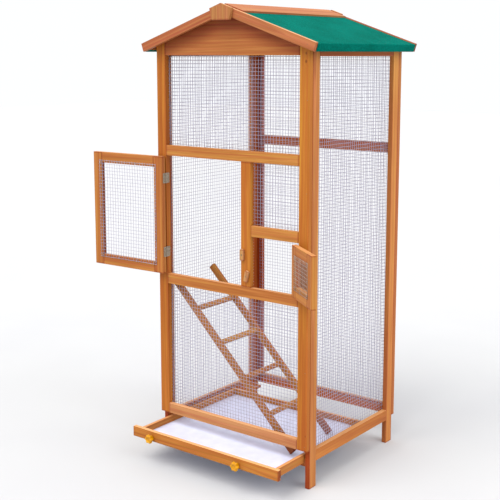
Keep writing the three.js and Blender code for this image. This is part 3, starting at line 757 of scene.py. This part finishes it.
ridge_x = sum(corner.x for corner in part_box("front_keystone")) / 2
LARGE = shut_matrix("large_door_swing", joints["large_door_swing"]["range_deg"][1])
SMALL = shut_matrix("small_door_swing", joints["small_door_swing"]["range_deg"][0])


def slope(side):
    """Down the roof's slope, and square to it, on the left (-1) or right (1)."""
    down = Vector((side * math.cos(ROOF_PITCH), 0, -math.sin(ROOF_PITCH)))
    return down, Vector((side * math.sin(ROOF_PITCH), 0, math.cos(ROOF_PITCH)))


def stain(node, grain, face, tone, **extra):
    """Gives a kept CAD board its own timber."""
    low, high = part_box(node)
    runs = [vertex.co.dot(grain) for vertex in nodes[node].data.vertices]
    made = timber(node, grain, face, (low + high) / 2, tone, max(runs) - min(runs), **extra)
    nodes[node].material_slots[0].material = made


def stain_cage():
    # The facing tints in these calls are painted light and shade on the boards' faces
    for side, inward in (("left", X), ("right", -X)):
        front_edge = (Y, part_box(f"{side}_front_leg")[0], SEAM_REACH, SEAM_STAIN_AND_SHADE)
        rear_edge = (Y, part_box(f"{side}_rear_leg")[1], SEAM_REACH, SEAM_STAIN_AND_SHADE)
        inner, outer = (inward, INNER_PAINTED_SHADE), (-inward, OUTER_PAINTED_LIGHT)
        stain(f"{side}_front_leg", Z, X, "side", seams=(front_edge,),
              facing=(inner, (-Y, FRONT_LEG_FRONT_PAINTED_LIGHT)))
        stain(f"{side}_rear_leg", Z, X, "side", seams=(rear_edge,),
              facing=((inward, REAR_LEG_INNER_PAINTED_SHADE), (-Y, painted_shade_tint(REAR_LEG_FRONT_PAINTED_SHADE)),
                      (-inward, REAR_LEG_OUTER_PAINTED_LIGHT), (Y, REAR_LEG_BACK_PAINTED_LIGHT)))
        stain(f"{side}_top_rail", Y, X, "side", facing=(inner, outer))
        stain(f"{side}_bottom_rail", Y, X, "rail", facing=((inward, BOTTOM_RAIL_INNER_PAINTED_LIGHT), outer))
        stain(f"front_{side}_stile", Z, Y, "front", facing=((Y, INNER_PAINTED_SHADE),),
              knots=STILE_KNOTS if side == "right" else ())
        stain(f"rear_{side}_stile", Z, Y, "side",
              facing=((-Y, REAR_STILE_FRONT_PAINTED_SHADE), (inward, REAR_STILE_INNER_PAINTED_SHADE),
                      (-inward, painted_shade_tint(REAR_STILE_OUTER_PAINTED_SHADE))))
    stain("front_mid_rail", X, Y, "rail")
    stain("front_lower_rail", X, Y, "rail")
    stain("front_small_rail", X, Y, "rail")
    stain("front_bottom_rail", X, Y, "sill")
    stain("front_mullion", Z, Y, "front")
    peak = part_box("front_gable")[1]
    peak.x = ridge_x
    # Painted shade on the gable along the barge boards
    eaves = [(slope(sign)[1], peak, EAVE_REACH, EAVE_PAINTED_SHADE) for sign in (-1, 1)]
    stain("front_gable", X, Y, "gable", figure=CALM_FIGURE, ring_gap=GABLE_RINGS, seams=eaves)
    stain("rear_gable", X, Y, "gable", figure=CALM_FIGURE, ring_gap=GABLE_RINGS)
    stain("rear_mid_rail", X, Y, "side", facing=((-Y, REAR_MID_RAIL_PAINTED_SHADE),))
    stain("rear_bottom_rail", X, Y, "side", facing=((-Y, REAR_BOTTOM_RAIL_PAINTED_SHADE),))
    for side, sign in (("left", -1), ("right", 1)):
        down, normal = slope(sign)
        stain(f"{side}_roof_board", Y, normal, "gable", ring_gap=WIDE_RINGS)
        stain(f"{side}_ridge_cap", Y, normal, "trim", figure=CALM_FIGURE, facing=((normal, CAP_TOP_PAINTED_LIGHT),))
        stain(f"front_{side}_barge", down, Y, "trim", facing=((normal, FRONT_BARGE_TOP_PAINTED_LIGHT),))
    down, normal = slope(1)
    stain("rear_right_barge", down, Y, "trim",
          facing=((normal, REAR_BARGE_TOP_PAINTED_SHADE), (X, REAR_BARGE_SIDE_PAINTED_SHADE)))
    stain("front_keystone", Z, Y, "keystone", ring_gap=WIDE_RINGS)
    stain("tray_front", X, Y, "tray", facing=((X, TRAY_END_PAINTED_SHADE), (-X, TRAY_END_PAINTED_SHADE)))
    stain("tray_back", X, Y, "tray")
    for side in ("left", "right"):
        stain(f"tray_{side}_side", Y, X, "rail")
    stain("large_door_button", Z, Y, "pale")
    stain("small_door_button", Z, Y, "pale")


def ease_square_edges():
    """Rounds the edges of the boards that are square in the solids."""
    for name in ("left_bottom_rail", "right_bottom_rail", "left_roof_board", "right_roof_board",
                 "tray_front", "tray_back", "tray_left_side", "tray_right_side", "tray_floor"):
        weld = nodes[name].modifiers.new("weld", "WELD")
        weld.merge_threshold = WELD_REACH
        ease = nodes[name].modifiers.new("ease", "BEVEL")
        ease.width = SHEET_EASE if name == "tray_floor" else BOARD_EASE
        ease.segments = EASE_STEPS
        ease.limit_method = "ANGLE"


def add_rear_crown():
    """The rear left barge board and the keystone nailed on it, shaped as their twins are."""
    twin, stone = nodes["rear_right_barge"].data, nodes["front_keystone"].data
    down, _ = slope(-1)
    low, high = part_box("rear_left_barge")
    verts = [Vector((2 * ridge_x - v.co.x, v.co.y, v.co.z)) for v in twin.vertices]
    faces = [tuple(reversed(face.vertices)) for face in twin.polygons]
    runs = [v.dot(down) for v in verts]
    long = max(runs) - min(runs)
    wood = timber("rear_left_barge", down, Y, (low + high) / 2, "trim", long)
    piece("rear_left_barge_board", "cage", verts, faces, wood, None, False, ("rear_left_barge",))
    back = high.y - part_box("front_keystone")[1].y
    verts = [v.co + Y * back for v in stone.vertices]
    faces = [tuple(face.vertices) for face in stone.polygons]
    low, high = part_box("front_keystone")
    wood = timber("rear_keystone", Z, Y, (low + high) / 2 + Y * back, "keystone", high.z - low.z,
                  ring_gap=WIDE_RINGS)
    piece("rear_keystone", "cage", verts, faces, wood)


def add_nets():
    add_net("left_netting", "left_net", "cage", X)
    add_net("right_netting", "right_net", "cage", -X)
    for part, inward in (("rear", -Y), ("front_upper", Y), ("front_fixed", Y), ("front_lower", Y)):
        add_net(part + "_netting", part + "_net", "cage", inward, trim=BACK_NET_TRIM)
    add_net("large_door_netting", "large_door_net", "large_door", Y, LARGE)
    add_net("small_door_netting", "small_door_net", "small_door", Y, SMALL)


def add_door_frame(name, place):
    """Four members: two stiles of full height and two rails between them."""
    low, high = box_of(name + "_frame", place)
    turn = place.to_3x3()
    inner_left, inner_right = low.x + DOOR_MEMBER, high.x - DOOR_MEMBER
    left, right = inner_left + BOARD_SEAM, inner_right - BOARD_SEAM
    members = {
        "left_stile": (low, Vector((inner_left, high.y, high.z)), Z),
        "right_stile": (Vector((inner_right, low.y, low.z)), high, Z),
        "lower_rail": (Vector((left, low.y, low.z)), Vector((right, high.y, low.z + DOOR_MEMBER)), X),
        "upper_rail": (Vector((left, low.y, high.z - DOOR_MEMBER)), Vector((right, high.y, high.z)), X),
    }
    inner_faces = {"left_stile": X, "right_stile": -X, "lower_rail": Z, "upper_rail": -Z}
    for part, (first, last, grain) in members.items():
        centre = place @ ((first + last) / 2)
        board = f"{name}_{part}"
        # The members' inner faces get painted shade
        wood = timber(board, turn @ grain, turn @ Y, centre, "rail", abs((last - first).dot(grain)),
                      facing=((turn @ inner_faces[part], DOOR_INNER_PAINTED_SHADE),))
        replaced = (name + "_frame",) if part == "left_stile" else ()
        eased_board(board, name, first, last, DOOR_EASE, wood, place, replaced)


def lathe(profile, sides):
    """Corners and faces of a closed turned shape about Z: profile is a list of radius and height."""
    turns = [math.tau * i / sides for i in range(sides)]
    verts = []
    for radius, height in profile:
        verts += [Vector((radius * math.cos(a), radius * math.sin(a), height)) for a in turns]
    return verts, tube_faces(len(profile), sides)


def add_leaf(solid, side, near, far, tall, inner):
    """A hinge leaf with its far corners rounded, lying in the plane of the pin."""
    outline = [(near, 0)]
    for turn, z in ((-math.pi / 2, LEAF_CORNER), (0, tall - LEAF_CORNER)):
        for i in range(LEAF_CORNER_STEPS + 1):
            angle = turn + math.pi / 2 * i / LEAF_CORNER_STEPS
            y = far - LEAF_CORNER + LEAF_CORNER * math.cos(angle)
            outline.append((y, z + LEAF_CORNER * math.sin(angle)))
    outline.append((near, tall))
    verts = [Vector((side * x, y, z)) for x in (inner, inner + LEAF_THICK) for y, z in outline]
    solid.take(verts, tube_faces(2, len(outline)))


def add_knuckle(solid, foot, top):
    cut = KNUCKLE_CHAMFER
    profile = [(BARREL_RADIUS - cut, foot), (BARREL_RADIUS, foot + cut), (BARREL_RADIUS, top - cut),
               (BARREL_RADIUS - cut, top)]
    solid.take(*lathe(profile, BARREL_SIDES))


def add_hinge(door, where, hand, place):
    """A butt hinge: the jamb's leaf has two knuckles and the pin, the door's leaf the middle knuckle."""
    fixed_node, moving_node = f"{door}_{where}_hinge", f"{door}_{where}_hinge_leaf"
    axis = Vector(joints[door + "_swing"]["pos_m"])
    low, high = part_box(fixed_node)
    axis.z = low.z
    tall = high.z - low.z
    third = (tall - 2 * KNUCKLE_GAP) / 3
    near, far = BARREL_RADIUS + KNUCKLE_GAP, high.y - axis.y
    inner = KNUCKLE_GAP / 2
    fixed, moving = Solid(), Solid()
    for solid, side, spans in ((fixed, -hand, ((0, third), (tall - third, tall))),
                               (moving, hand, ((third + KNUCKLE_GAP, tall - third - KNUCKLE_GAP),))):
        add_leaf(solid, side, near, far, tall, inner)
        for start, end in spans:
            add_knuckle(solid, start, end)
            strip = ((inner, 0), (inner + LEAF_THICK, 0), (inner + LEAF_THICK, near), (inner, near))
            verts = [Vector((side * x, y, z)) for z in (start, end) for x, y in strip]
            solid.take(verts, tube_faces(2, 4))
    fixed.take(*lathe(PIN_HEAD, BARREL_SIDES))
    fixed.take(*lathe([(r, tall - z) for r, z in reversed(PIN_HEAD)], BARREL_SIDES))
    to_axis = Matrix.Translation(axis)
    for node, body, solid, spot in ((fixed_node, "cage", fixed, to_axis),
                                    (moving_node, door, moving, place @ to_axis)):
        turn_faces_out(piece(f"{node}_plate", body, solid.verts, solid.faces, HINGE_STEEL,
                             spot, False, (node,)))
    middle = (near + far) / 2 + HINGE_SCREW_SHIFT
    for node, body, side, spot in ((fixed_node, "cage", -hand, None), (moving_node, door, hand, place)):
        heads = []
        for share, way in zip(HINGE_SCREW_SHARES, (-1, 1, -1)):
            y = middle + way * HINGE_SCREW_STAGGER
            centre = axis + Vector((side * (inner - HINGE_SCREW_PROUD), y, tall * share))
            heads.append((centre, (-side, 0, 0), HINGE_SCREW))
        screws(f"{node}_screws", body, heads, spot, HINGE_SCREW_DOME)


def turn_faces_out(made):
    """Makes every face of a piece look outwards."""
    mesh = bmesh.new()
    mesh.from_mesh(made.data)
    bmesh.ops.recalc_face_normals(mesh, faces=mesh.faces)
    mesh.to_mesh(made.data)
    mesh.free()


def add_doors():
    add_door_frame("large_door", LARGE)
    add_door_frame("small_door", SMALL)
    for where in ("lower", "upper"):
        add_hinge("large_door", where, 1, LARGE)
        add_hinge("small_door", where, -1, SMALL)


def add_button_screws():
    """The pivot screw of each turn button."""
    for name in ("large_door_button", "small_door_button"):
        low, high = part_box(name)
        centre = Vector(((low.x + high.x) / 2, low.y, (low.z + high.z) / 2))
        screws(name + "_screw", name, [(centre, -Y, PIVOT_SCREW)], dome=PIVOT_SCREW_DOME)


def add_knob(side):
    """A fluted knob: a round neck, a head with a rounded rim, and a dished face."""
    node = f"tray_{side}_knob"
    low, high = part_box(node)
    centre = Vector(((low.x + high.x) / 2, high.y, (low.z + high.z) / 2))
    radius, long = (high.x - low.x) / 2, high.y - low.y
    profile = [(NECK_RADIUS, 0, 0), (NECK_RADIUS, NECK_LONG - NECK_BLEND, 0),
               (NECK_RADIUS + NECK_BLEND, NECK_LONG, 0)]
    for start, base in ((-90, NECK_LONG + KNOB_ROUND), (0, long - KNOB_ROUND)):
        for i in range(KNOB_ROUND_STEPS + 1):
            angle = math.radians(start + 90 / KNOB_ROUND_STEPS * i)
            reach = radius - KNOB_ROUND + KNOB_ROUND * math.cos(angle)
            profile.append((reach, base + KNOB_ROUND * math.sin(angle), 1))
    profile += [(DIMPLE_RADIUS + NECK_BLEND, long, 0), (DIMPLE_RADIUS, long - DIMPLE_DEEP, 0),
                (DIMPLE_RADIUS / 2, long - DIMPLE_DEEP, 0)]
    verts = []
    for reach, height, fluted in profile:
        for i in range(KNOB_SIDES):
            angle = math.tau * i / KNOB_SIDES
            cut = fluted * FLUTE_DEEP * (1 - math.cos(FLUTES * angle)) / 2
            grown = reach - cut * min(1, max(0, (reach - NECK_RADIUS) / (radius - NECK_RADIUS)))
            verts.append(centre + Vector((grown * math.cos(angle), -height, grown * math.sin(angle))))
    made = piece(node + "_head", "tray", verts, tube_faces(len(profile), KNOB_SIDES), KNOB_PLASTIC,
                 None, True, (node,))
    turn_faces_out(made)
    return centre


def add_nails():
    """The nails that show where the front, the rear, the crown and the tray are fixed."""
    uprights, crown = [], []
    for side, line in STILE_NAIL_LINES.items():
        uprights += on_face(f"front_{side}_stile", Z, -Y, [(along, 1 - line) for along in STILE_NAILS])
        uprights += on_face(f"rear_{side}_stile", Z, Y, [(along, line) for along in STILE_NAILS])
    for side, sign in (("left", -1), ("right", 1)):
        down, normal = slope(sign)
        crown += on_face(f"front_{side}_barge", down, -Y, BARGE_NAILS)
        crown += on_face(f"{side}_ridge_cap", Y, normal, CAP_NAILS)
    crown += on_face("rear_right_barge", slope(1)[0], Y, BARGE_NAILS)
    nails("frame_nails", "cage", uprights)
    nails("crown_nails", "cage", crown)
    ends = on_face("tray_front", X, -Y, TRAY_NAILS) + on_face("tray_back", X, Y, TRAY_NAILS)
    nails("tray_nails", "tray", ends)


def add_tray_details():
    nodes["tray_floor"].material_slots[0].material = FLOOR_SHEET
    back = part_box("tray_front")[1].y
    heads = []
    for side in ("left", "right"):
        centre = add_knob(side)
        heads.append((Vector((centre.x, back, centre.z)), Y, KNOB_SCREW))
    screws("tray_front_screws", "tray", heads)


def add_ladder():
    """Two rails with rungs let into them, leaning at 45 degrees."""
    low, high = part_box("ladder")
    inset = LADDER_RAIL_WIDE / 2 * math.cos(LADDER_LEAN)
    foot = Vector((high.x - inset, 0, low.z + inset))
    top = Vector((low.x + inset, 0, high.z - inset))
    up = (top - foot).normalized()
    long = (top - foot).length
    normal = up.cross(Y)
    lean = Matrix.Translation(foot) @ Matrix((up, Y, normal)).transposed().to_4x4()
    half = LADDER_RAIL_WIDE / 2
    rails = {"front": low.y, "rear": high.y - LADDER_RAIL_THICK}
    for name, start in rails.items():
        first, last = Vector((0, start, -half)), Vector((long, start + LADDER_RAIL_THICK, half))
        centre = lean @ ((first + last) / 2)
        board = f"ladder_{name}_rail"
        # The rails are darker towards the foot: painted shade
        wood = timber(board, up, Y, centre, "ladder", long,
                      seams=((up, foot, LADDER_FOOT_SHADE_REACH, LADDER_FOOT_PAINTED_SHADE),))
        replaced = ("ladder",) if name == "front" else ()
        eased_board(board, "cage", first, last, LADDER_EASE, wood, lean, replaced)
    pegs = []
    start = rails["front"] + LADDER_RAIL_THICK - RUNG_MORTISE
    end = rails["rear"] + RUNG_MORTISE
    for i in range(RUNG_COUNT):
        at = long * (i + 1) / (RUNG_COUNT + 1)
        first = Vector((at - RUNG_WIDE / 2, start, -RUNG_THICK / 2))
        last = Vector((at + RUNG_WIDE / 2, end, RUNG_THICK / 2))
        centre = lean @ ((first + last) / 2)
        board = f"ladder_rung_{i + 1}"
        wood = timber(board, Y, normal, centre, "ladder", end - start)
        eased_board(board, "cage", first, last, LADDER_EASE, wood, lean)
        pegs += [(foot + up * at + Y * low.y, -Y), (foot + up * at + Y * high.y, Y)]
    nails("ladder_nails", "cage", pegs)


def add_felt(side, sign):
    """Felt over the slope, bent round the eave and tucked under it, slightly wavy along the bend."""
    node = f"{side}_roof_felt"
    down, normal = slope(sign)
    origin = Vector((ridge_x, 0, 0))
    spans = [((v.co - origin).dot(down), (v.co - origin).dot(normal)) for v in nodes[node].data.vertices]
    low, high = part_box(node)
    reach = max(d for d, _ in spans)
    top = max(a for _, a in spans)
    under = min(a for _, a in spans)
    ridge = min(d for d, a in spans if a > top - FELT_THICK / 2)
    half = FELT_THICK / 2
    path = []
    flat_end = reach - half - FELT_BEND
    for i in range(FELT_SLOPE_STEPS + 1):
        path.append((ridge + (flat_end - ridge) * i / FELT_SLOPE_STEPS, top - half, 0, 1))
    bends = [math.pi / 2 * i / FELT_BEND_STEPS for i in range(1, FELT_BEND_STEPS + 1)]
    edges = [i / FELT_EDGE_STEPS for i in range(1, FELT_EDGE_STEPS + 1)]
    for angle in bends:
        path.append((flat_end + FELT_BEND * math.sin(angle), top - half - FELT_BEND * (1 - math.cos(angle)),
                     math.sin(angle), math.cos(angle)))
    drop = under + half + FELT_BEND
    fall = drop - top + half + FELT_BEND
    for share in edges:
        path.append((reach - half, top - half - FELT_BEND + fall * share, 1, 0))
    for angle in bends:
        path.append((reach - half - FELT_BEND * (1 - math.cos(angle)), drop - FELT_BEND * math.sin(angle),
                     math.cos(angle), -math.sin(angle)))
    for share in edges:
        path.append((reach - half - FELT_BEND - (FELT_TUCK - FELT_BEND) * share, under + half, 0, -1))
    columns = round((high.y - low.y) / FELT_STEP)
    chance = random.Random(node)
    phase = [chance.uniform(0, math.tau) for _ in range(3)]
    outer, inner = [], []
    for c in range(columns + 1):
        y = low.y + (high.y - low.y) * c / columns
        wave = ripple(FELT_WAVES, phase, y)
        for d, a, out_d, out_a in path:
            near_eave = max(0, 1 - (reach - d) / FELT_WAVE_REACH)
            swell = FELT_WAVE * near_eave * (0.5 + 0.5 * wave) if out_a >= 0 else 0
            point = origin + down * d + normal * a + Y * y
            away = down * out_d + normal * out_a
            outer.append(point + away * (half + swell))
            inner.append(point - away * (half - swell))
    rows = len(path)
    count = len(outer)
    faces = []
    for c in range(columns):
        for p in range(rows - 1):
            a, b = c * rows + p, (c + 1) * rows + p
            faces.append((a, a + 1, b + 1, b))
            faces.append((count + a, count + b, count + b + 1, count + a + 1))
    for p in range(rows - 1):
        for a in (p, columns * rows + p):
            faces.append((a, a + 1, count + a + 1, count + a))
    for c in range(columns):
        for p in (0, rows - 1):
            a, b = c * rows + p, (c + 1) * rows + p
            faces.append((a, b, count + b, count + a))
    made = piece(f"{side}_felt_sheet", "cage", outer + inner, faces, FELT, None, True,
                 (node,))
    turn_faces_out(made)


def add_lights():
    world = bpy.data.worlds.new("studio")
    scene.world = world
    world.use_nodes = True
    sky = world.node_tree.nodes["Background"].inputs
    sky["Color"].default_value = WORLD_COLOUR
    sky["Strength"].default_value = WORLD_STRENGTH
    for name, (azimuth, height, softness, strength, colour) in LAMPS.items():
        data = bpy.data.lights.new(name, "SUN")
        data.angle = math.radians(softness)
        data.energy = strength
        data.color = colour
        lamp = bpy.data.objects.new(name, data)
        a, e = math.radians(azimuth), math.radians(height)
        back = Vector((math.sin(a) * math.cos(e), -math.cos(a) * math.cos(e), math.sin(e)))
        lamp.rotation_euler = (-back).to_track_quat("-Z", "Y").to_euler()
        lamp.location = back * LAMP_DISTANCE
        scene.collection.objects.link(lamp)


def add_floor():
    corners = [(x * FLOOR_HALF, y * FLOOR_HALF, 0) for x, y in ((-1, -1), (1, -1), (1, 1), (-1, 1))]
    mesh = bpy.data.meshes.new("studio_floor")
    mesh.from_pydata(corners, [], [(0, 1, 2, 3)])
    r = Recipe("studio_floor")
    tint = r.spread(r.noise(r.place(), (1.5, 1.5, 1.5), 1), 0.3, 0.7)
    colour = r.mix(tint, *FLOOR_TONES)
    mesh.materials.append(r.surface(Base_Color=colour, Roughness=1.0, Specular_IOR_Level=0.0))
    floor = bpy.data.objects.new("studio_floor", mesh)
    scene.collection.objects.link(floor)


def add_camera():
    data = bpy.data.cameras.new("photo_view")
    data.lens = CAMERA_LENS
    data.sensor_width = CAMERA_SENSOR
    data.shift_y = CAMERA_SHIFT_UP
    camera = bpy.data.objects.new("photo_view", data)
    camera.location = CAMERA_PLACE
    camera.rotation_euler = (math.pi / 2 - CAMERA_PITCH, 0, CAMERA_YAW)
    scene.collection.objects.link(camera)
    scene.camera = camera


scene.view_settings.view_transform = "Standard"
add_camera()
add_lights()
add_floor()
stain_cage()
ease_square_edges()
add_rear_crown()
add_nets()
add_doors()
add_button_screws()
add_nails()
add_tray_details()
add_ladder()
add_felt("left", -1)
add_felt("right", 1)
